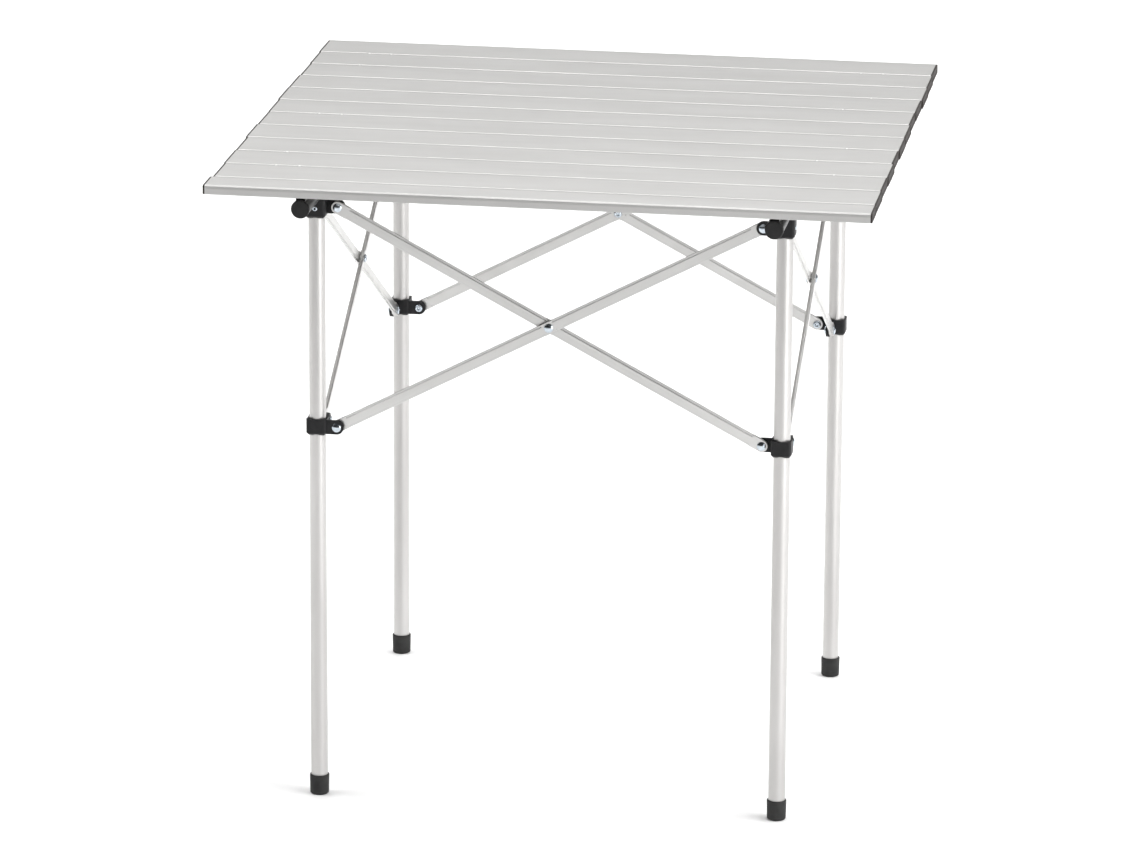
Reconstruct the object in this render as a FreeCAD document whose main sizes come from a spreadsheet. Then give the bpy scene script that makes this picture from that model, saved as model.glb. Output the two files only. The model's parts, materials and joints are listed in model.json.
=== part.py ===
"""Square roll-top folding table: a scissor frame on four legs carries two support bars and a slatted top.

Millimetres, +Z up, the origin on the floor below the middle of the top. X runs along the slats and -Y is the
front. The frame has fourfold symmetry about Z, so each leg and each side is modelled at the front (the
front left leg, the front side) and turned into place by quarter turns.
"""
import FreeCAD
import Part
import math
import os
import Sketcher

CORNERS = ("front_left", "front_right", "back_right", "back_left")
SIDES = ("front", "right", "back", "left")
SLAT_COUNT = 12
# How far each slat sits off the middle along X, back slat first: the elastic lets them wander a little.
SLAT_SHIFTS = (-1.5, -0.5, 0.3, -0.8, -1.2, 0.0, 0.4, -0.6, 1.0, 0.4, 1.2, 0.0)

DIMENSIONS = {
    # the top
    "table_height": 700.0,
    "top_depth": 700.0,
    "slat_pitch": 60.0,
    "front_slat_pitch": 40.0,
    "slat_length": 697.0,
    "front_slat_length": 700.0,
    "slat_thickness": 10.0,
    "slat_skin": 1.1,
    "slat_wall": 1.0,
    "slat_lip": 5.0,
    "seam_gap": 0.4,
    "bevel_drop": 1.4,
    "front_bevel_run": 1.8,
    "rear_bevel_run": 0.8,
    # the plastic end caps of the slats
    "cap_thickness": 2.0,
    "cap_inset": 0.15,
    "cap_rim": 1.4,
    "cap_recess": 0.6,
    "cap_plug_length": 12.0,
    "cap_plug_slack": 0.3,
    # the two bars that carry the slats
    "bar_spacing": 499.0,
    "bar_radius": 9.5,
    "bar_wall": 1.5,
    "bar_axis_height": 676.5,
    "bar_reach": 344.0,
    "bar_rib_width": 10.0,
    "bar_rib_gap": 0.1,
    "plug_radius": 9.9,
    "plug_flange": 3.5,
    "plug_bevel": 0.8,
    "plug_depth": 15.0,
    "plug_slack": 0.05,
    # the legs and feet
    "leg_spacing": 500.0,
    "tube_radius": 9.0,
    "tube_wall": 1.0,
    "tube_top": 661.0,
    "foot_height": 22.0,
    "foot_floor": 3.0,
    "foot_top_radius": 10.6,
    "foot_bottom_radius": 10.2,
    "foot_edge": 1.2,
    "socket_slack": 0.05,
    # the plastic hubs
    "hub_width": 22.0,
    "hub_corner": 3.0,
    "hub_chamfer": 2.5,
    "hub_top": 666.7,
    "hub_bottom": 646.0,
    "slider_height": 18.0,
    "slider_clearance": 0.3,
    "slider_scoop_radius": 30.0,
    "slider_scoop_depth": 1.0,
    "tab_thickness": 4.0,
    "tab_radius": 7.5,
    # the scissor braces
    "pivot_reach": 22.0,
    "upper_pivot": 656.0,
    "lower_pivot": 416.0,
    "brace_height": 13.0,
    "brace_thickness": 4.4,
    "brace_flange": 2.5,
    "brace_step": 1.2,
    "brace_flat_end": 13.0,
    "brace_flat_middle": 6.5,
    "brace_gap": 0.4,
    "tab_gap": 0.1,
    # the rivets
    "rivet_radius": 3.0,
    "rivet_clearance": 0.05,
    "rivet_head_radius": 4.8,
    "rivet_head_height": 2.3,
}

doc = FreeCAD.newDocument("folding_table")
sheet = doc.addObject("Spreadsheet::Sheet", "dims")
for row, (alias, size) in enumerate(DIMENSIONS.items(), start=1):
    sheet.set(f"A{row}", alias)
    sheet.set(f"B{row}", str(size))
    sheet.setAlias(f"B{row}", alias)
doc.recompute()

X = FreeCAD.Vector(1, 0, 0)
Y = FreeCAD.Vector(0, 1, 0)
Z = FreeCAD.Vector(0, 0, 1)
LEG = "-dims.leg_spacing / 2"
TAB_OFFSET = "(dims.brace_gap / 2 + dims.brace_thickness + dims.tab_gap)"
HOLE_RADIUS = "dims.rivet_radius + dims.rivet_clearance"
SLAT_BOTTOM = "(dims.table_height - dims.slat_thickness)"
SPAN = "(dims.leg_spacing - 2 * dims.pivot_reach)"
RISE = "(dims.upper_pivot - dims.lower_pivot)"
BRACE_LENGTH = f"sqrt({SPAN} ^ 2 + {RISE} ^ 2)"

subparts = []


def value(expression):
    """The number that an expression of the sheet's aliases gives."""
    found = sheet.evalExpression(expression)
    return float(getattr(found, "Value", found))


def keep(thing, label, placement=None):
    """Name a finished sub-part, put it in place and list it for export."""
    thing.Label = label
    if placement is not None:
        thing.Placement = placement
    subparts.append(thing)


def bind(thing, **expressions):
    for name, expression in expressions.items():
        thing.setExpression(name, str(expression))


def locate(thing, place, rotation=None):
    """Bind a primitive's position to the sheet and turn it about its own origin."""
    if rotation is not None:
        thing.Placement.Rotation = rotation
    for letter, expression in zip("xyz", place):
        thing.setExpression(f"Placement.Base.{letter}", str(expression))


def box(name, size, place):
    block = doc.addObject("Part::Box", name)
    bind(block, Length=size[0], Width=size[1], Height=size[2])
    locate(block, place)
    return block


def cylinder(name, radius, length, place, axis=Z):
    rod = doc.addObject("Part::Cylinder", name)
    bind(rod, Radius=radius, Height=length)
    locate(rod, place, FreeCAD.Rotation(Z, axis))
    return rod


def fuse(name, pieces):
    joined = doc.addObject("Part::MultiFuse", name)
    joined.Shapes = pieces
    joined.Refine = True
    return joined


def cut(name, base, tools):
    result = doc.addObject("Part::Cut", name)
    result.Base = base
    result.Tool = tools[0] if len(tools) == 1 else fuse(name + "_tools", tools)
    result.Refine = True
    return result


def quarter_turn(count):
    """The placement that turns a front left piece about Z to another corner or side."""
    return FreeCAD.Placement(FreeCAD.Vector(0, 0, 0), FreeCAD.Rotation(Z, 90 * count))


def dress(kind, name, base, size, wanted):
    """Chamfer or fillet the edges of base that wanted() picks."""
    doc.recompute()
    numbers = [n for n, edge in enumerate(base.Shape.Edges, start=1) if wanted(edge)]
    dressed = doc.addObject(kind, name)
    dressed.Base = base
    dressed.Edges = [(n, value(size), value(size)) for n in numbers]
    return dressed


def upright(edge):
    ends = [vertex.Point for vertex in edge.Vertexes]
    return abs(ends[0].z - ends[1].z) > 1 and abs(ends[0].x - ends[1].x) + abs(ends[0].y - ends[1].y) < 0.001


def origin_plane(body, role):
    return next(item for item in body.Origin.OriginFeatures if item.Role == role)


def outline(body, role, name, corners):
    """A closed sketch of straight sides whose corners are bound to the sheet."""
    sketch = body.newObject("Sketcher::SketchObject", name)
    sketch.AttachmentSupport = (origin_plane(body, role), [""])
    sketch.MapMode = "FlatFace"
    points = [FreeCAD.Vector(value(across), value(up), 0) for across, up in corners]
    for start, end in zip(points, points[1:] + points[:1]):
        sketch.addGeometry(Part.LineSegment(start, end), False)
    for side in range(len(points)):
        sketch.addConstraint(Sketcher.Constraint("Coincident", side, 2, (side + 1) % len(points), 1))
    for side, (point, corner) in enumerate(zip(points, corners)):
        for kind, size, expression in zip(("DistanceX", "DistanceY"), point, corner):
            number = sketch.addConstraint(Sketcher.Constraint(kind, -1, 1, side, 1, size))
            sketch.setExpression(f"Constraints[{number}]", expression)
    return sketch


def pad(body, name, sketch, length):
    grown = body.newObject("PartDesign::Pad", name)
    grown.Profile = sketch
    bind(grown, Length=length)
    return grown


# ---- legs ----


def leg_tube(corner):
    name = f"leg_tube_{CORNERS[corner]}"
    floor = "dims.foot_floor"
    length = "dims.tube_top - dims.foot_floor"
    outside = cylinder(name + "_outside", "dims.tube_radius", length, (LEG, LEG, floor))
    inside = cylinder(name + "_inside", "dims.tube_radius - dims.tube_wall", length, (LEG, LEG, floor))
    keep(cut(name, outside, [inside]), name, quarter_turn(corner))


def foot(corner):
    """A moulded cup, turned from half of its section."""
    name = f"foot_{CORNERS[corner]}"
    body = doc.addObject("PartDesign::Body", name)
    socket = "dims.tube_radius + dims.socket_slack"
    section = outline(body, "XZ_Plane", name + "_section", [
        ("0.001", "0.0"),
        ("dims.foot_bottom_radius - dims.foot_edge", "0.0"),
        ("dims.foot_bottom_radius", "dims.foot_edge"),
        ("dims.foot_top_radius", "dims.foot_height - dims.foot_edge / 2"),
        ("dims.foot_top_radius - dims.foot_edge / 2", "dims.foot_height"),
        (socket, "dims.foot_height"),
        (socket, "dims.foot_floor"),
        ("0.001", "dims.foot_floor"),
    ])
    turned = body.newObject("PartDesign::Revolution", name + "_turned")
    turned.Profile = section
    turned.ReferenceAxis = (section, ["V_Axis"])
    turned.Angle = 360
    place = quarter_turn(corner) * FreeCAD.Placement(
        FreeCAD.Vector(value(LEG), value(LEG), 0), FreeCAD.Rotation())
    keep(body, name, place)


# ---- hubs ----


def hub_tab(name, pivot, inward, along_x):
    """A rounded lug towards the next leg, on the inner or the outer side of the braces, and its rivet hole."""
    near = f"{LEG} + {TAB_OFFSET}"
    far = f"{LEG} - {TAB_OFFSET} - dims.tab_thickness"
    side = near if inward else far
    tip = f"{LEG} + dims.pivot_reach"
    thick = "dims.tab_thickness"
    low = f"{pivot} - dims.tab_radius"
    if along_x:
        size = ("dims.pivot_reach", thick, "2 * dims.tab_radius")
        corner, end, axis = (LEG, side, low), (tip, side, pivot), Y
    else:
        size = (thick, "dims.pivot_reach", "2 * dims.tab_radius")
        corner, end, axis = (side, LEG, low), (side, tip, pivot), X
    arm = box(name + "_arm", size, corner)
    nose = cylinder(name + "_nose", "dims.tab_radius", thick, end, axis)
    hole = cylinder(name + "_hole", HOLE_RADIUS, thick, end, axis)
    return [arm, nose], hole


def hub_block(name, bottom, height):
    """A square block about the leg with rounded upright corners and a chamfered lower edge."""
    corner = f"{LEG} - dims.hub_width / 2"
    block = box(name + "_block", ("dims.hub_width", "dims.hub_width", height), (corner, corner, bottom))
    rounded = dress("Part::Fillet", name + "_rounded", block, "dims.hub_corner", upright)
    floor = value(bottom)
    return dress("Part::Chamfer", name + "_chamfered", rounded, "dims.hub_chamfer",
                 lambda edge: all(abs(vertex.Point.z - floor) < 0.001 for vertex in edge.Vertexes))


def upper_hub(corner):
    """Fixed on top of its leg: a blind socket for the tube and a flat top under the support bar."""
    name = f"upper_hub_{CORNERS[corner]}"
    block = hub_block(name, "dims.hub_bottom", "dims.hub_top - dims.hub_bottom")
    tab_x, hole_x = hub_tab(name + "_tab_x", "dims.upper_pivot", inward=True, along_x=True)
    tab_y, hole_y = hub_tab(name + "_tab_y", "dims.upper_pivot", inward=False, along_x=False)
    socket = cylinder(name + "_socket", "dims.tube_radius + dims.socket_slack",
                      "dims.tube_top - dims.hub_bottom", (LEG, LEG, "dims.hub_bottom"))
    whole = fuse(name + "_whole", [block] + tab_x + tab_y)
    keep(cut(name, whole, [socket, hole_x, hole_y]), name, quarter_turn(corner))


def lower_hub(corner):
    """Slides on its leg: a through bore, and an upper rim scooped a little between its four corners."""
    name = f"lower_hub_{CORNERS[corner]}"
    bottom = "dims.lower_pivot - dims.slider_height / 2"
    top = "dims.lower_pivot + dims.slider_height / 2"
    block = hub_block(name, bottom, "dims.slider_height")
    tab_x, hole_x = hub_tab(name + "_tab_x", "dims.lower_pivot", inward=False, along_x=True)
    tab_y, hole_y = hub_tab(name + "_tab_y", "dims.lower_pivot", inward=True, along_x=False)
    bore = cylinder(name + "_bore", "dims.tube_radius + dims.slider_clearance", "dims.slider_height",
                    (LEG, LEG, bottom))
    scoop_height = f"{top} + dims.slider_scoop_radius - dims.slider_scoop_depth"
    start = f"{LEG} - dims.hub_width / 2"
    scoop_x = cylinder(name + "_scoop_x", "dims.slider_scoop_radius", "dims.hub_width",
                       (start, LEG, scoop_height), X)
    scoop_y = cylinder(name + "_scoop_y", "dims.slider_scoop_radius", "dims.hub_width",
                       (LEG, start, scoop_height), Y)
    shell = cut(name + "_shell", block, [bore, scoop_x, scoop_y])
    arms = cut(name + "_arms", fuse(name + "_lugs", tab_x + tab_y), [bore, hole_x, hole_y])
    keep(fuse(name, [shell, arms]), name, quarter_turn(corner))


# ---- braces and rivets ----


def brace_placement(side, rising):
    """Across a side, at the crossing: rising braces on the outer layer, falling ones on the inner layer."""
    slope = math.degrees(math.atan2(value(RISE), value(SPAN)))
    layer = value("dims.brace_gap / 2 + dims.brace_thickness / 2")
    middle = FreeCAD.Vector(0, value(LEG) + (-layer if rising else layer),
                            value("(dims.upper_pivot + dims.lower_pivot) / 2"))
    tilt = FreeCAD.Rotation(Y, -slope if rising else slope)
    return quarter_turn(side) * FreeCAD.Placement(middle, tilt)


def brace(side, rising):
    """A strip along X about its middle: a raised band between two thinner flanges, and full round ends."""
    name = f"brace_{SIDES[side]}_{'rising' if rising else 'falling'}"
    half = f"{BRACE_LENGTH} / 2"
    back = "-dims.brace_thickness / 2"
    low = "-dims.brace_height / 2"
    thick = "dims.brace_thickness"
    pieces = [box(name + "_strip", (BRACE_LENGTH, thick, "dims.brace_height"), (f"-{half}", back, low))]
    tools = [cylinder(name + "_middle_hole", HOLE_RADIUS, thick, (0, back, 0), Y)]
    for end, sign in (("left", "-"), ("right", "")):
        pivot = (f"{sign}{half}", back, 0)
        pieces.append(cylinder(f"{name}_{end}_end", "dims.brace_height / 2", thick, pivot, Y))
        tools.append(cylinder(f"{name}_{end}_hole", HOLE_RADIUS, thick, pivot, Y))
        length = f"{half} - dims.brace_flat_end - dims.brace_flat_middle"
        first = "dims.brace_flat_middle" if sign == "" else f"-{half} + dims.brace_flat_end"
        for face, depth in (("outer", back), ("inner", "dims.brace_thickness / 2 - dims.brace_step")):
            for edge, height in (("top", "dims.brace_height / 2 - dims.brace_flange"), ("bottom", low)):
                tools.append(box(f"{name}_{end}_{face}_{edge}", (length, "dims.brace_step", "dims.brace_flange"),
                                 (first, depth, height)))
    keep(cut(name, fuse(name + "_whole", pieces), tools), name, brace_placement(side, rising))


def rivet(name, along, start, end):
    """A shank along Y between two seats, with a domed head outside each."""
    shank = cylinder(name + "_shank", "dims.rivet_radius", f"({end}) - ({start})", (along, start, 0), Y)
    dome = "(dims.rivet_head_radius ^ 2 + dims.rivet_head_height ^ 2) / (2 * dims.rivet_head_height)"
    sink = f"({dome} - dims.rivet_head_height)"
    pieces = [shank]
    for head, seat, direction in (("outer", f"({start}) + {sink}", -Y), ("inner", f"({end}) - {sink}", Y)):
        cap = doc.addObject("Part::Sphere", f"{name}_{head}")
        bind(cap, Radius=dome, Angle1=f"asin({sink} / ({dome}))")
        locate(cap, (along, seat, 0), FreeCAD.Rotation(Z, direction))
        pieces.append(cap)
    return fuse(name, pieces)


def brace_rivets(side, rising):
    """The rivets that ride on a brace: one through each hub tab, and the crossing one on falling braces."""
    name = f"rivets_{SIDES[side]}_{'rising' if rising else 'falling'}"
    half = f"{BRACE_LENGTH} / 2"
    face = "dims.brace_thickness / 2"
    past_tab = f"{face} + 2 * dims.tab_gap + dims.tab_thickness"
    start, end = (f"-({past_tab})", face) if rising else (f"-{face}", past_tab)
    group = [rivet(name + "_left", f"-{half}", start, end), rivet(name + "_right", half, start, end)]
    if not rising:
        past_brace = f"-({face} + dims.brace_gap + dims.brace_thickness + dims.tab_gap)"
        group.append(rivet(name + "_crossing", 0, past_brace, face))
    cluster = doc.addObject("Part::Compound", name)
    cluster.Links = group
    keep(cluster, name, brace_placement(side, rising))


# ---- slats and their end caps ----


def slat_middle(number):
    """The Y of a slat's centre line, counted from the back edge of the top."""
    if number == SLAT_COUNT:
        return value("-dims.top_depth / 2 + dims.front_slat_pitch / 2")
    return value("dims.top_depth / 2") - (number - 0.5) * value("dims.slat_pitch")


def slat_sizes(number):
    front = number == SLAT_COUNT
    pitch = "dims.front_slat_pitch" if front else "dims.slat_pitch"
    length = "dims.front_slat_length" if front else "dims.slat_length"
    return f"({pitch} / 2 - dims.seam_gap / 2)", length


def slat(number):
    """An open channel with lips; its front top edge has a wide bevel and its rear one a narrow bevel."""
    name = f"slat_{number:02d}"
    half, length = slat_sizes(number)
    bottom = "-dims.slat_thickness"
    ledge = "-dims.slat_thickness + dims.slat_wall"
    body = doc.addObject("PartDesign::Body", name)
    section = outline(body, "YZ_Plane", name + "_section", [
        (f"-{half}", bottom),
        (f"-{half} + dims.slat_lip", bottom),
        (f"-{half} + dims.slat_lip", ledge),
        (f"-{half} + dims.slat_wall", ledge),
        (f"-{half} + dims.slat_wall", "-dims.slat_skin"),
        (f"{half} - dims.slat_wall", "-dims.slat_skin"),
        (f"{half} - dims.slat_wall", ledge),
        (f"{half} - dims.slat_lip", ledge),
        (f"{half} - dims.slat_lip", bottom),
        (half, bottom),
        (half, "-dims.bevel_drop"),
        (f"{half} - dims.rear_bevel_run", "0.0"),
        (f"-{half} + dims.front_bevel_run", "0.0"),
        (f"-{half}", "-dims.bevel_drop"),
    ])
    pad(body, name + "_extrusion", section, length)
    start = SLAT_SHIFTS[number - 1] - value(length) / 2
    place = FreeCAD.Vector(start, slat_middle(number), value("dims.table_height"))
    keep(body, name, FreeCAD.Placement(place, FreeCAD.Rotation()))


def slat_caps(number):
    """The two end caps of a slat: a plate with a sunk outer face, and a plug that fills the channel."""
    name = f"end_caps_{number:02d}"
    half, length = slat_sizes(number)
    edge = f"({half} - dims.cap_inset)"
    bottom = "-dims.slat_thickness + dims.cap_inset"
    body = doc.addObject("PartDesign::Body", name + "_right")
    plate = outline(body, "YZ_Plane", name + "_plate_outline", [
        (f"-{edge}", bottom),
        (edge, bottom),
        (edge, "-dims.bevel_drop - dims.cap_inset"),
        (f"{edge} - dims.rear_bevel_run", "-dims.cap_inset"),
        (f"-{edge} + dims.front_bevel_run", "-dims.cap_inset"),
        (f"-{edge}", "-dims.bevel_drop - dims.cap_inset"),
    ])
    pad(body, name + "_plate", plate, "dims.cap_thickness")
    inner = "dims.slat_wall + dims.cap_plug_slack"
    plug = outline(body, "YZ_Plane", name + "_plug_outline", [
        (f"-{half} + {inner}", f"-dims.slat_thickness + {inner}"),
        (f"{half} - ({inner})", f"-dims.slat_thickness + {inner}"),
        (f"{half} - ({inner})", "-dims.slat_skin - dims.cap_plug_slack"),
        (f"-{half} + {inner}", "-dims.slat_skin - dims.cap_plug_slack"),
    ])
    stub = pad(body, name + "_plug", plug, "dims.cap_plug_length")
    stub.Reversed = True
    doc.recompute()
    rim = "dims.cap_rim"
    sunk = box(name + "_sunk", ("dims.cap_recess", f"2 * ({edge} - {rim})", f"dims.slat_thickness - 2 * {rim}"),
               ("dims.cap_thickness - dims.cap_recess", f"-({edge} - {rim})", f"-dims.slat_thickness + {rim}"))
    right = cut(name + "_right_cap", body, [sunk])
    right.Placement.Base = X * (value(length) / 2)
    left = doc.addObject("Part::Mirroring", name + "_left_cap")
    left.Source = right
    left.Normal = X
    pair = doc.addObject("Part::Compound", name)
    pair.Links = [left, right]
    place = FreeCAD.Vector(SLAT_SHIFTS[number - 1], slat_middle(number), value("dims.table_height"))
    keep(pair, name, FreeCAD.Placement(place, FreeCAD.Rotation()))


# ---- support bars ----


def bar_placement(hand):
    place = FreeCAD.Vector(hand * value("dims.bar_spacing / 2"), 0, value("dims.bar_axis_height"))
    return FreeCAD.Placement(place, FreeCAD.Rotation())


def support_bar(label, hand):
    """A round tube along Y with a flat-topped rib that the slats rest on."""
    name = f"support_bar_{label}"
    half = "(dims.bar_reach - dims.plug_flange)"
    inside = "dims.bar_radius - dims.bar_wall"
    tube = cylinder(name + "_tube", "dims.bar_radius", f"2 * {half}", (0, f"-{half}", 0), Y)
    rib_top = f"{SLAT_BOTTOM} - dims.bar_rib_gap - dims.bar_axis_height"
    rib = box(name + "_rib", ("dims.bar_rib_width", f"2 * {half}", f"{rib_top} - ({inside})"),
              ("-dims.bar_rib_width / 2", f"-{half}", inside))
    hollow = cylinder(name + "_hollow", inside, f"2 * {half}", (0, f"-{half}", 0), Y)
    keep(cut(name, fuse(name + "_whole", [tube, rib]), [hollow]), name, bar_placement(hand))


def bar_plugs(label, hand):
    """The two turned plugs that close a support bar: a bevelled disc and a spigot."""
    name = f"bar_plugs_{label}"
    radius = "dims.plug_radius"
    flat = "dims.plug_flange - dims.plug_bevel"
    face = "-dims.bar_reach"
    disc = cylinder(name + "_disc", radius, flat, (0, f"{face} + dims.plug_bevel", 0), Y)
    bevel = doc.addObject("Part::Cone", name + "_bevel")
    bind(bevel, Radius1=f"{radius} - dims.plug_bevel", Radius2=radius, Height="dims.plug_bevel")
    locate(bevel, (0, face, 0), FreeCAD.Rotation(Z, Y))
    spigot = cylinder(name + "_spigot", "dims.bar_radius - dims.bar_wall - dims.plug_slack", "dims.plug_depth",
                      (0, f"{face} + dims.plug_flange", 0), Y)
    front = fuse(name + "_front", [disc, bevel, spigot])
    back = doc.addObject("Part::Mirroring", name + "_back")
    back.Source = front
    back.Normal = Y
    pair = doc.addObject("Part::Compound", name)
    pair.Links = [front, back]
    keep(pair, name, bar_placement(hand))


for corner in range(4):
    leg_tube(corner)
    foot(corner)
    upper_hub(corner)
    lower_hub(corner)
for side in range(4):
    for rising in (False, True):
        brace(side, rising)
        brace_rivets(side, rising)
for number in range(1, SLAT_COUNT + 1):
    slat(number)
    slat_caps(number)
for label, hand in (("left", -1), ("right", 1)):
    support_bar(label, hand)
    bar_plugs(label, hand)

doc.recompute()
for thing in doc.Objects:
    if "Invalid" in thing.State or "Error" in thing.State:
        raise RuntimeError(f"{thing.Name} did not rebuild: {thing.State}")
for thing in subparts:
    if thing.Shape.isNull() or not thing.Shape.isValid():
        raise RuntimeError(f"{thing.Label} has no sound shape")

os.makedirs("parts", exist_ok=True)
for thing in subparts:
    thing.Shape.exportStep(f"parts/{thing.Label}.step")
print(len(subparts), "sub-parts")
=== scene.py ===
"""Looks of the roll-top folding table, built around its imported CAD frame: metres, +Z up, front at -Y."""
import bmesh
import bpy
import json
import math
from mathutils import Matrix, Vector


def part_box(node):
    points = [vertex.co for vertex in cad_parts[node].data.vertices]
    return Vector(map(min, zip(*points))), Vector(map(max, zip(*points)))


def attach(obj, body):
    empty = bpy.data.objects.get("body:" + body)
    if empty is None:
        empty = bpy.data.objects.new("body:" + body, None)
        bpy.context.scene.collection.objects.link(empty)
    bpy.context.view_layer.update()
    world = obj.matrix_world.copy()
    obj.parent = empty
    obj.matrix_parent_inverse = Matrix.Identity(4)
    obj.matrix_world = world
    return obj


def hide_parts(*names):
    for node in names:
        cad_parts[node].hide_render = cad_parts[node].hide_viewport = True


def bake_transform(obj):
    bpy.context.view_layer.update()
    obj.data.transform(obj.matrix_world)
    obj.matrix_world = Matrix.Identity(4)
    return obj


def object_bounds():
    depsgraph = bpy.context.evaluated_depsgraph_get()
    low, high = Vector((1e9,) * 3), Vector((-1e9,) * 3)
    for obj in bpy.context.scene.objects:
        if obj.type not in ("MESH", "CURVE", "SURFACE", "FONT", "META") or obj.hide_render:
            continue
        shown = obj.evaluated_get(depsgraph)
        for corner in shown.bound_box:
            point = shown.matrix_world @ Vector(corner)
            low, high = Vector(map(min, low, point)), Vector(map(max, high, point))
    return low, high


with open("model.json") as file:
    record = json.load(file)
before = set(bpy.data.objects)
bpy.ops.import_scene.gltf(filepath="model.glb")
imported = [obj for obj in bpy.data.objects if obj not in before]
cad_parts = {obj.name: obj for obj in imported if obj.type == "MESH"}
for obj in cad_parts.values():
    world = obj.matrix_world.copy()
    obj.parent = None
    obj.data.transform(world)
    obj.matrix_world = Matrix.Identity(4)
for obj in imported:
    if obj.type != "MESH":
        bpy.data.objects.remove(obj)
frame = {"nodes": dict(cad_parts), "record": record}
cad_low, cad_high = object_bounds()

MM = 0.001
QUARTER = math.pi / 2
X_AXIS = Vector((1, 0, 0))
Z_AXIS = Vector((0, 0, 1))
CORNERS = ("front_left", "front_right", "back_right", "back_left")
SIDES = ("front", "right", "back", "left")
SLAT_COUNT = 12
SLAT_PITCH = 60 * MM

top_height = cad_high.z
first_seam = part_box("slat_01")[0].y


# ---- materials ----


class Nodes:
    """A short way to write a material's node tree."""

    def __init__(self, name):
        self.material = bpy.data.materials.new(name)
        self.material.use_nodes = True
        self.tree = self.material.node_tree
        self.shader = self.tree.nodes["Principled BSDF"]

    def add(self, kind, **settings):
        """A new node; each setting is one of its properties or else one of its inputs."""
        node = self.tree.nodes.new(kind)
        for key, setting in settings.items():
            if hasattr(node, key):
                setattr(node, key, setting)
            else:
                node.inputs[key.replace("_", " ")].default_value = setting
        return node

    def link(self, source, target):
        self.tree.links.new(source, target)

    def place(self, rotation=(0, 0, 0), scale=(1, 1, 1)):
        """Object coordinates in metres, turned and then stretched."""
        coordinates = self.add("ShaderNodeTexCoord")
        turned_to = self.add("ShaderNodeMapping", vector_type="TEXTURE")
        turned_to.inputs["Rotation"].default_value = rotation
        self.link(coordinates.outputs["Object"], turned_to.inputs["Vector"])
        stretched = self.add("ShaderNodeMapping")
        stretched.inputs["Scale"].default_value = scale
        self.link(turned_to.outputs["Vector"], stretched.inputs["Vector"])
        return stretched.outputs["Vector"]

    def noise(self, vector, scale, detail):
        made = self.add("ShaderNodeTexNoise", Scale=scale, Detail=detail, Roughness=0.5)
        self.link(vector, made.inputs["Vector"])
        return made.outputs["Fac"]

    def spread(self, factor, low, high):
        """Turn a 0 to 1 factor into a range."""
        ranged = self.add("ShaderNodeMapRange", To_Min=low, To_Max=high)
        self.link(factor, ranged.inputs["Value"])
        return ranged.outputs["Result"]

    def roughness(self, factor, middle, either_way):
        ranged = self.spread(factor, middle - either_way, middle + either_way)
        self.link(ranged, self.shader.inputs["Roughness"])

    def tint(self, factor, dark, light):
        """Mix the base colour from two close tones."""
        ramp = self.add("ShaderNodeValToRGB")
        for element, tone, position in zip(ramp.color_ramp.elements, (dark, light), (0.3, 0.7)):
            element.color = (*tone, 1)
            element.position = position
        self.link(factor, ramp.inputs["Fac"])
        self.link(ramp.outputs["Color"], self.shader.inputs["Base Color"])
        return ramp.outputs["Color"]

    def scaled(self, colour, factor):
        made = self.add("ShaderNodeVectorMath", operation="SCALE")
        self.link(colour, made.inputs[0])
        self.link(factor, made.inputs["Scale"])
        return made.outputs["Vector"]

    def painted_crevice_shade(self, colour, reach, darkest):
        """Painted shade: darken the base colour in the narrow gaps and corners that light hardly reaches, by
        ambient occlusion.
        """
        open_sky = self.add("ShaderNodeAmbientOcclusion", samples=6, Distance=reach)
        lit = self.spread(open_sky.outputs["AO"], darkest, 1.0)
        self.link(self.scaled(colour, lit), self.shader.inputs["Base Color"])

    def maths(self, operation, first, second):
        """One step of arithmetic on numbers or sockets."""
        made = self.add("ShaderNodeMath", operation=operation)
        for socket, given in zip(made.inputs, (first, second)):
            if isinstance(given, float):
                socket.default_value = given
            else:
                self.link(given, socket)
        return made.outputs["Value"]

    def painted_shade_line(self, axis, start, width, darkest):
        """Painted shade: a factor that drops in a line from the start down the axis, and again every slat
        pitch.
        """
        split = self.add("ShaderNodeSeparateXYZ")
        self.link(self.place(), split.inputs["Vector"])
        turns = self.maths("DIVIDE", self.maths("SUBTRACT", start, split.outputs[axis]), SLAT_PITCH)
        share = self.maths("FRACT", turns, 0.0)
        fade_from = 0.75 * width / SLAT_PITCH
        fade_to = 1.25 * width / SLAT_PITCH
        faded = self.add("ShaderNodeMapRange", From_Min=fade_from, From_Max=fade_to, To_Min=darkest)
        self.link(share, faded.inputs["Value"])
        return faded.outputs["Result"]

    def bump(self, height, strength, distance):
        made = self.add("ShaderNodeBump", Strength=strength, Distance=distance)
        self.link(height, made.inputs["Height"])
        self.link(made.outputs["Normal"], self.shader.inputs["Normal"])


DRAWN_LINES = (4, 900, 900)
SOFT_CLOUDS = (6, 30, 30)
# painted shade in gaps and corners: how far it reaches, and its darkest factor, deep on slats, tubes and
# bars, light on braces
CREVICE_SHADE_REACH = 2.5 * MM
DEEP_CREVICE_SHADE = 0.1
LIGHT_CREVICE_SHADE = 0.7
PLASTIC_SHINE = 0.28
PLASTIC_GRAIN = 2600
PLASTIC_MOTTLE = 90
ZINC_SPANGLE = 260
ZINC_MARKS = 900
CORD_RIBS = (1400, 1400, 1400)


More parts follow.
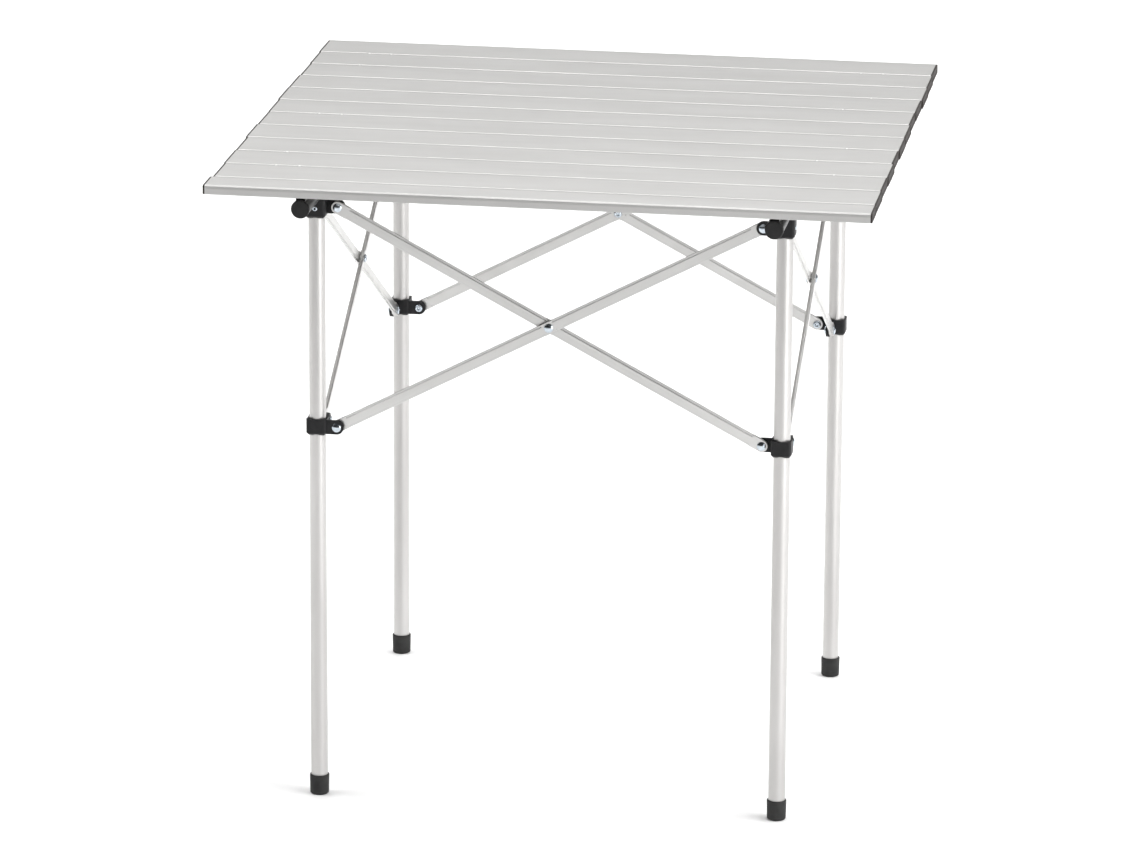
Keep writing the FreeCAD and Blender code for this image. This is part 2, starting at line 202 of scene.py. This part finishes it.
def aluminium(name, rotation, dark, light, roughness, painted_crevice_shade, painted_shade_lines=()):
    """Satin aluminium whose drawn lines run along local X after the rotation, with painted shade in its gaps
    and corners and along any given lines.
    """
    made = Nodes(name)
    made.shader.inputs["Metallic"].default_value = 1.0
    lines = made.noise(made.place(rotation, DRAWN_LINES), scale=1.0, detail=2.0)
    clouds = made.noise(made.place(rotation, SOFT_CLOUDS), scale=1.0, detail=2.0)
    colour = made.tint(clouds, dark, light)
    # painted shade lines, darkening the base colour in bands
    for painted_shade_line in painted_shade_lines:
        colour = made.scaled(colour, made.painted_shade_line(*painted_shade_line))
    # painted shade in the gaps and corners, darkening the base colour by ambient occlusion
    made.painted_crevice_shade(colour, CREVICE_SHADE_REACH, painted_crevice_shade)
    made.roughness(lines, roughness, either_way=0.05)
    made.bump(lines, strength=0.12, distance=0.04 * MM)
    return made.material


def moulded(name, dark, light, roughness):
    """Matt moulded plastic with a fine spark-eroded grain."""
    made = Nodes(name)
    made.shader.inputs["Specular IOR Level"].default_value = PLASTIC_SHINE
    place = made.place()
    grain = made.noise(place, PLASTIC_GRAIN, detail=2.0)
    made.tint(made.noise(place, PLASTIC_MOTTLE, detail=3.0), dark, light)
    made.roughness(grain, roughness, either_way=0.08)
    made.bump(grain, strength=0.18, distance=0.06 * MM)
    return made.material


def zinc():
    """Bright zinc plate with a blue cast and a few fine marks."""
    made = Nodes("bright_zinc")
    made.shader.inputs["Metallic"].default_value = 1.0
    place = made.place()
    made.tint(made.noise(place, ZINC_SPANGLE, detail=3.0), dark=(0.46, 0.52, 0.58), light=(0.66, 0.71, 0.76))
    made.roughness(made.noise(place, ZINC_MARKS, detail=2.0), 0.20, either_way=0.06)
    return made.material


def elastic():
    """White braided elastic cord: crossing ribs over soft fibre."""
    made = Nodes("white_elastic")
    made.shader.inputs["Sheen Weight"].default_value = 0.4
    made.shader.inputs["Roughness"].default_value = 0.85
    ribs = made.add("ShaderNodeTexWave", Scale=1.0, Distortion=1.2)
    made.link(made.place(scale=CORD_RIBS), ribs.inputs["Vector"])
    made.tint(ribs.outputs["Fac"], dark=(0.72, 0.72, 0.70), light=(0.92, 0.92, 0.90))
    made.bump(ribs.outputs["Fac"], strength=0.5, distance=0.2 * MM)
    return made.material


brace_low, brace_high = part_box("brace_front_rising")
slope = math.atan2(brace_high.z - brace_low.z, brace_high.x - brace_low.x)
BRACE_TONES = ((0.61, 0.605, 0.595), (0.67, 0.665, 0.655))
# painted shade lines, as axis, start, width and darkest factor: in front of each seam, and under the bevel
# of the front face
SEAM_SHADE = ("Y", first_seam, 4 * MM, 0.80)
EDGE_SHADE = ("Z", top_height - 1.5 * MM, 2.4 * MM, 0.84)

slat_metal = aluminium("slat_aluminium", (0, 0, 0), (0.578, 0.573, 0.563), (0.616, 0.611, 0.601), 0.42,
                       DEEP_CREVICE_SHADE, (SEAM_SHADE, EDGE_SHADE))
tube_metal = aluminium("tube_aluminium", (0, -QUARTER, 0), (0.56, 0.55, 0.54), (0.62, 0.61, 0.60), 0.40,
                       DEEP_CREVICE_SHADE)
bar_black = aluminium("bar_black", (0, 0, QUARTER), (0.020, 0.019, 0.019), (0.034, 0.032, 0.031), 0.36,
                      DEEP_CREVICE_SHADE)
brace_metals = {
    "falling": aluminium("brace_aluminium_falling", (0, slope, 0), *BRACE_TONES, 0.34, LIGHT_CREVICE_SHADE),
    "rising": aluminium("brace_aluminium_rising", (0, -slope, 0), *BRACE_TONES, 0.34, LIGHT_CREVICE_SHADE),
}
hub_plastic = moulded("hub_plastic", (0.010, 0.010, 0.011), (0.017, 0.017, 0.018), 0.50)
foot_plastic = moulded("foot_plastic", (0.020, 0.020, 0.020), (0.034, 0.034, 0.033), 0.58)
cap_plastic = moulded("end_cap_plastic", (0.026, 0.022, 0.020), (0.044, 0.038, 0.035), 0.64)
plug_plastic = moulded("bar_plug_plastic", (0.012, 0.012, 0.012), (0.020, 0.020, 0.020), 0.46)
zinc_plate = zinc()
white_elastic = elastic()


# ---- mesh tools ----

WELD = 0.002 * MM
FLAT_ANGLE = math.radians(0.4)
EDGE_ANGLE = math.radians(28)
CREASE_ANGLE = math.radians(50)
TURN_STEPS = 40
CORD_RADIUS = 1.45 * MM
CORD_SIDES = 10


def placed(work, name, material):
    """Make an object of a finished bmesh, with its origin at the world's."""
    mesh = bpy.data.meshes.new(name)
    work.to_mesh(mesh)
    work.free()
    mesh.materials.append(material)
    piece = bpy.data.objects.new(name, mesh)
    bpy.context.collection.objects.link(piece)
    return piece


def body_holding(node):
    bodies = frame["record"]["behaviour"]["bodies"]
    return next(body for body, nodes in bodies.items() if node in nodes)


def rounded(node, material, width, segments=3, even=True):
    """Stand in for a CAD node: the same form with rounded edges, and even shading over merged facets."""
    work = bmesh.new()
    work.from_mesh(frame["nodes"][node].data)
    bmesh.ops.remove_doubles(work, verts=work.verts, dist=WELD)
    if even:
        bmesh.ops.dissolve_limit(work, angle_limit=FLAT_ANGLE, verts=work.verts, edges=work.edges)
    piece = placed(work, f"{node}_skin", material)
    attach(piece, body_holding(node))
    edge = piece.modifiers.new("rounding", "BEVEL")
    edge.width = width
    edge.segments = segments
    edge.limit_method = "ANGLE"
    edge.angle_limit = EDGE_ANGLE
    edge.miter_outer = "MITER_ARC"
    if even:
        piece.data.shade_smooth()
        flat = piece.modifiers.new("flat_faces", "WEIGHTED_NORMAL")
        flat.mode = "FACE_AREA"
        flat.weight = 100
    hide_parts(node)


def cords(name, paths):
    """Round cords along the given paths, as one mesh."""
    work = bmesh.new()
    for path in paths:
        spine = [Vector(point) for point in path]
        previous = None
        for place, point in enumerate(spine):
            ahead = spine[min(place + 1, len(spine) - 1)] - spine[max(place - 1, 0)]
            ahead.normalize()
            side = ahead.cross(X_AXIS if abs(ahead.x) < 0.9 else Z_AXIS).normalized()
            other = ahead.cross(side)
            turns = [2 * math.pi * step / CORD_SIDES for step in range(CORD_SIDES)]
            spokes = [math.cos(turn) * side + math.sin(turn) * other for turn in turns]
            ring = [work.verts.new(point + CORD_RADIUS * spoke) for spoke in spokes]
            if previous:
                for step in range(CORD_SIDES):
                    after = (step + 1) % CORD_SIDES
                    work.faces.new((previous[step], previous[after], ring[after], ring[step]))
            else:
                work.faces.new(ring)
            previous = ring
        work.faces.new(reversed(previous))
    bmesh.ops.recalc_face_normals(work, faces=work.faces)
    piece = placed(work, name, white_elastic)
    piece.data.shade_smooth()
    return piece


def turned(work, profile, base, axis):
    """Add a turned form to a bmesh: profile pairs are (radius, height along the axis from base)."""
    across = axis.orthogonal().normalized()
    other = axis.cross(across)
    turns = [2 * math.pi * step / TURN_STEPS for step in range(TURN_STEPS)]
    spokes = [math.cos(turn) * across + math.sin(turn) * other for turn in turns]
    rings = []
    for radius, height in profile:
        middle = base + axis * height
        if radius == 0:
            rings.append([work.verts.new(middle)])
        else:
            rings.append([work.verts.new(middle + radius * spoke) for spoke in spokes])
    for first, second in zip(rings, rings[1:]):
        for step in range(TURN_STEPS):
            after = (step + 1) % TURN_STEPS
            corners = [first[step % len(first)], first[after % len(first)]]
            corners += [second[after % len(second)], second[step % len(second)]]
            work.faces.new(list(dict.fromkeys(corners)))


def zinc_piece(work, name, body):
    """Finish turned forms as one plated piece with crisp rims."""
    bmesh.ops.recalc_face_normals(work, faces=work.faces)
    piece = placed(work, name, zinc_plate)
    piece.data.shade_smooth()
    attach(piece, body)
    sharp = piece.modifiers.new("creases", "EDGE_SPLIT")
    sharp.split_angle = CREASE_ANGLE
    return piece


# ---- rivets and eyelets ----

RIVET_SHANK = 2.95 * MM
RIVET_HEAD = 4.75 * MM
HEAD_HEIGHT = 2.3 * MM
HEAD_RIM = 0.7 * MM
RIM_ROUND = 0.2 * MM
RIM_TAPER = 0.97
DOME_SLOPE = math.radians(36)
DOME_STEPS = 10
# radius and height in mm, from the hollow middle outwards
ROLLED_END = ((0, 1.5), (1.1, 1.5), (1.6, 0.5), (2.2, 0.08), (3.0, 0.1), (3.9, 0.6), (4.4, 1.3), (4.3, 2.0),
              (3.8, 2.3))
EYELET_RING = ((0.95, -1.6), (1.0, 0.3), (1.35, 0.7), (1.8, 0.8), (2.35, 0.6), (2.7, 0.15), (2.7, -0.3))
EYELET_FLOOR = ((0, -1.5), (0.96, -1.5))
EYELET_RISE = 0.5 * MM
HUB_HALF = 11 * MM


def in_metres(profile):
    return [(radius * MM, height * MM) for radius, height in profile]


def rivet_profile(length):
    """A semi-tubular rivet from its rolled inner end to its domed outer head."""
    under = length - HEAD_HEIGHT
    edge = under + HEAD_RIM
    profile = in_metres(ROLLED_END)
    profile += [(RIVET_SHANK, HEAD_HEIGHT), (RIVET_SHANK, under)]
    profile += [(RIVET_HEAD * RIM_TAPER, under), (RIVET_HEAD, under + RIM_ROUND)]
    for step in range(DOME_STEPS):
        slant = DOME_SLOPE * (1 - step / DOME_STEPS)
        rise = (math.cos(slant) - math.cos(DOME_SLOPE)) / (1 - math.cos(DOME_SLOPE))
        profile.append((RIVET_HEAD * math.sin(slant) / math.sin(DOME_SLOPE), edge + rise * (length - edge)))
    profile.append((0, length))
    return profile


def islands(node):
    """The boxes of the separate solids in a CAD node, in the order of its vertices."""
    work = bmesh.new()
    work.from_mesh(frame["nodes"][node].data)
    bmesh.ops.remove_doubles(work, verts=work.verts, dist=0.01 * MM)
    met = set()
    boxes = []
    for first in work.verts:
        if first in met:
            continue
        met.add(first)
        queue = [first]
        found = []
        while queue:
            point = queue.pop()
            found.append(point.co.copy())
            for edge in point.link_edges:
                far = edge.other_vert(point)
                if far not in met:
                    met.add(far)
                    queue.append(far)
        low = Vector([min(point[k] for point in found) for k in range(3)])
        high = Vector([max(point[k] for point in found) for k in range(3)])
        boxes.append((low, high))
    work.free()
    return boxes


def rivets(node, outward):
    """The rivets of one brace, with their domed heads on the outside of the frame."""
    work = bmesh.new()
    for low, high in islands(node):
        length = abs((high - low).dot(outward))
        middle = (low + high) / 2
        turned(work, rivet_profile(length), middle - outward * length / 2, outward)
    piece = zinc_piece(work, f"{node}_turned", body_holding(node))
    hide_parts(node)


def hub_eyelet(corner, outward):
    """The tubular rivet that pins an upper hub to its leg tube."""
    hub_low, hub_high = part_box(f"upper_hub_{corner}")
    leg_low, leg_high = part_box(f"leg_tube_{corner}")
    face = (leg_low + leg_high) / 2
    face.z = (hub_low.z + hub_high.z) / 2 + EYELET_RISE
    face += outward * HUB_HALF
    work = bmesh.new()
    turned(work, in_metres(EYELET_RING), face, outward)
    turned(work, in_metres(EYELET_FLOOR), face, outward)
    zinc_piece(work, f"hub_eyelet_{corner}", f"leg_{corner}")


# ---- the elastic cords ----

CORD_DEPTH = 4.6 * MM
CORD_LINES = {"left_outer": -0.2935, "left_inner": -0.2685, "right_inner": 0.2685, "right_outer": 0.2935}
# the seams where a strand stands proud enough to be seen from above
PROUD_SEAMS = {
    "left_outer": (1, 2, 6, 9, 10),
    "left_inner": (1, 6, 10),
    "right_inner": (1, 4, 8),
    "right_outer": (1, 3, 7, 9),
}
PROUD_CROWN = 0.55 * MM
SUNK_CROWN = -0.9 * MM
SEAM_REACH = 7 * MM
RISE_REACH = 4.4 * MM
RISE_SHARPNESS = 1.3
BRIDGE_HALF_STEPS = 9
RUN_STEPS = 6
U_TURN_STEPS = 16
FRONT_RUN = 20 * MM
FRONT_BULGE = 0.8
BACK_BULGE = 0.5
KNOT_SIZE = 2.4 * MM
KNOT_DROP = 1.2 * MM
KNOT_STEPS = 48


def seam_line(seam):
    return first_seam - SLAT_PITCH * (seam - 1)


def slat_body(slat):
    return "top_base" if slat == 1 else f"slat_{slat:02d}_body"


def cord_bridge(seam):
    """The short lengths of cord that cross one seam, rising over it."""
    middle = seam_line(seam)
    deep = top_height - CORD_DEPTH
    paths = []
    for line, across in CORD_LINES.items():
        crown = PROUD_CROWN if seam in PROUD_SEAMS[line] else SUNK_CROWN
        top = top_height - CORD_RADIUS + crown
        path = []
        for step in range(2 * BRIDGE_HALF_STEPS + 1):
            along = SEAM_REACH * (1 - step / BRIDGE_HALF_STEPS)
            near = math.cos(min(abs(along) / RISE_REACH, 1) * QUARTER)
            path.append((across, middle + along, deep + (top - deep) * near ** RISE_SHARPNESS))
        paths.append(path)
    piece = cords(f"cord_bridge_{seam:02d}", paths)
    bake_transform(piece)


def u_turn(middle, reach, along, bulge, height):
    """A cord's half loop between two strands."""
    turns = [math.pi * step / U_TURN_STEPS for step in range(U_TURN_STEPS + 1)]
    return [(middle - reach * math.cos(turn), along + bulge * math.sin(turn), height) for turn in turns]


def knot(middle, size):
    """An overhand knot drawn up tight."""
    path = []
    for step in range(KNOT_STEPS + 1):
        turn = 2 * math.pi * step / KNOT_STEPS
        across = math.sin(turn) + 2 * math.sin(2 * turn)
        along = math.cos(turn) - 2 * math.cos(2 * turn)
        rise = -math.sin(3 * turn)
        path.append([centre + size * part / 3 for centre, part in zip(middle, (across, along, rise))])
    return path


def cord_run(slat):
    """The cord lying inside one slat: straight runs, a turn in the front slat and knots in the back one."""
    back = seam_line(slat - 1) - SEAM_REACH if slat > 1 else seam_line(1) + SLAT_PITCH / 2
    front = seam_line(slat) + SEAM_REACH if slat < SLAT_COUNT else seam_line(slat - 1) - FRONT_RUN
    deep = top_height - CORD_DEPTH
    paths = []
    for across in CORD_LINES.values():
        stations = [back + (front - back) * step / RUN_STEPS for step in range(RUN_STEPS + 1)]
        paths.append([(across, along, deep) for along in stations])
    for side in ("left", "right"):
        outer = CORD_LINES[f"{side}_outer"]
        inner = CORD_LINES[f"{side}_inner"]
        middle = (outer + inner) / 2
        reach = (inner - outer) / 2
        if slat == SLAT_COUNT:
            paths.append(u_turn(middle, reach, front, -FRONT_BULGE * abs(reach), deep))
        if slat == 1:
            bulge = BACK_BULGE * abs(reach)
            paths.append(u_turn(middle, reach, back, bulge, deep))
            paths.append(knot((middle, back + bulge, deep - KNOT_DROP), KNOT_SIZE))
    piece = cords(f"cord_run_{slat:02d}", paths)
    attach(piece, slat_body(slat))


# ---- the stage ----

FLOOR_REACH = 30.0
FLOOR_WHITE = (0.92, 0.92, 0.92, 1)
BRIGHT_SIDE = Vector((0.75, 0.30, 0.59)).normalized()
DIM_SKY = 0.50
BRIGHT_SKY = 1.60
# name, place, aim, width, height, watts, spread in degrees
LAMPS = (
    ("floor_wash", (0.3, 3.4, 5.0), (0.3, 1.4, 0.0), 7.0, 5.0, 330, 180),
    ("right_softbox", (4.6, -0.6, 4.2), (0.2, -0.6, 0.0), 4.0, 4.0, 330, 180),
    ("left_softbox", (-4.6, -0.6, 4.2), (0.0, -0.6, 0.0), 4.0, 4.0, 210, 180),
    ("overhead_softbox", (-0.3, -1.3, 5.0), (-0.3, -1.3, 0.0), 2.6, 2.6, 36, 180),
    ("side_softbox", (2.7, -2.4, 0.9), (0.0, 0.0, 0.4), 1.4, 2.0, 30, 160),
)
CAMERA_AZIMUTH = math.radians(8.755)
CAMERA_ELEVATION = math.radians(16.11)
CAMERA_ROLL = math.radians(0.344)
CAMERA_DISTANCE = 7.184
CAMERA_TARGET = Vector((-0.0156, 0, 0.3535))
CAMERA_REACH = 100
SENSOR_WIDTH = 36.0
LENS = 205.6


def studio_floor():
    mesh = bpy.data.meshes.new("studio_floor")
    signs = ((-1, -1), (1, -1), (1, 1), (-1, 1))
    mesh.from_pydata([(FLOOR_REACH * x, FLOOR_REACH * y, 0) for x, y in signs], [], [(0, 1, 2, 3)])
    floor = bpy.data.objects.new("studio_floor", mesh)
    bpy.context.collection.objects.link(floor)
    made = Nodes("studio_floor")
    made.shader.inputs["Roughness"].default_value = 0.9
    made.shader.inputs["Specular IOR Level"].default_value = 0.1
    made.shader.inputs["Base Color"].default_value = FLOOR_WHITE
    mesh.materials.append(made.material)


def studio_air():
    """A soft surround that is brighter towards the upper right."""
    world = bpy.data.worlds.new("studio_air")
    bpy.context.scene.world = world
    world.use_nodes = True
    tree = world.node_tree
    aim = tree.nodes.new("ShaderNodeTexCoord")
    turn = tree.nodes.new("ShaderNodeVectorMath")
    turn.operation = "DOT_PRODUCT"
    turn.inputs[1].default_value = BRIGHT_SIDE
    shade = tree.nodes.new("ShaderNodeMapRange")
    shade.inputs["From Min"].default_value = -0.1
    shade.inputs["From Max"].default_value = 0.7
    shade.inputs["To Min"].default_value = DIM_SKY
    shade.inputs["To Max"].default_value = BRIGHT_SKY
    tree.links.new(aim.outputs["Generated"], turn.inputs[0])
    tree.links.new(turn.outputs["Value"], shade.inputs["Value"])
    tree.links.new(shade.outputs["Result"], tree.nodes["Background"].inputs["Strength"])


def lamp(name, place, aim, width, height, watts, spread):
    light = bpy.data.lights.new(name, "AREA")
    light.shape = "RECTANGLE"
    light.size = width
    light.size_y = height
    light.energy = watts
    light.spread = math.radians(spread)
    hung = bpy.data.objects.new(name, light)
    hung.location = place
    hung.rotation_mode = "QUATERNION"
    hung.rotation_quaternion = (Vector(aim) - Vector(place)).to_track_quat("-Z", "Y")
    bpy.context.collection.objects.link(hung)


def camera():
    """A long lens, a little above the top and to the right of the front."""
    level = math.cos(CAMERA_ELEVATION)
    back = Vector((math.sin(CAMERA_AZIMUTH) * level, -math.cos(CAMERA_AZIMUTH) * level,
                   math.sin(CAMERA_ELEVATION)))
    facing = (-back).to_track_quat("-Z", "Y")
    lens = bpy.data.cameras.new("camera")
    lens.sensor_width = SENSOR_WIDTH
    lens.lens = LENS
    lens.clip_end = CAMERA_REACH
    seen = bpy.data.objects.new("camera", lens)
    seen.rotation_mode = "QUATERNION"
    seen.rotation_quaternion = facing @ Matrix.Rotation(CAMERA_ROLL, 3, "Z").to_quaternion()
    seen.location = CAMERA_TARGET + back * CAMERA_DISTANCE
    bpy.context.collection.objects.link(seen)
    bpy.context.scene.camera = seen


studio_floor()
studio_air()
for settings in LAMPS:
    lamp(*settings)
camera()
bpy.context.scene.view_settings.view_transform = "Standard"


# ---- the table ----

for number in range(1, SLAT_COUNT + 1):
    rounded(f"slat_{number:02d}", slat_metal, 0.25 * MM)
    rounded(f"end_caps_{number:02d}", cap_plastic, 0.3 * MM, even=False)
for corner in CORNERS:
    rounded(f"leg_tube_{corner}", tube_metal, 0.2 * MM)
    rounded(f"upper_hub_{corner}", hub_plastic, 0.7 * MM)
    rounded(f"lower_hub_{corner}", hub_plastic, 0.7 * MM)
    rounded(f"foot_{corner}", foot_plastic, 0.5 * MM)
for label in ("left", "right"):
    rounded(f"support_bar_{label}", bar_black, 0.2 * MM)
    rounded(f"bar_plugs_{label}", plug_plastic, 0.3 * MM)
outward = Vector((0, -1, 0))
for side, corner in zip(SIDES, CORNERS):
    for way, brace_metal in brace_metals.items():
        rounded(f"brace_{side}_{way}", brace_metal, 0.5 * MM, segments=4)
        rivets(f"rivets_{side}_{way}", outward)
    hub_eyelet(corner, outward)
    outward = Vector((-outward.y, outward.x, 0))
for slat in range(1, SLAT_COUNT + 1):
    cord_run(slat)
for seam in range(1, SLAT_COUNT):
    cord_bridge(seam)
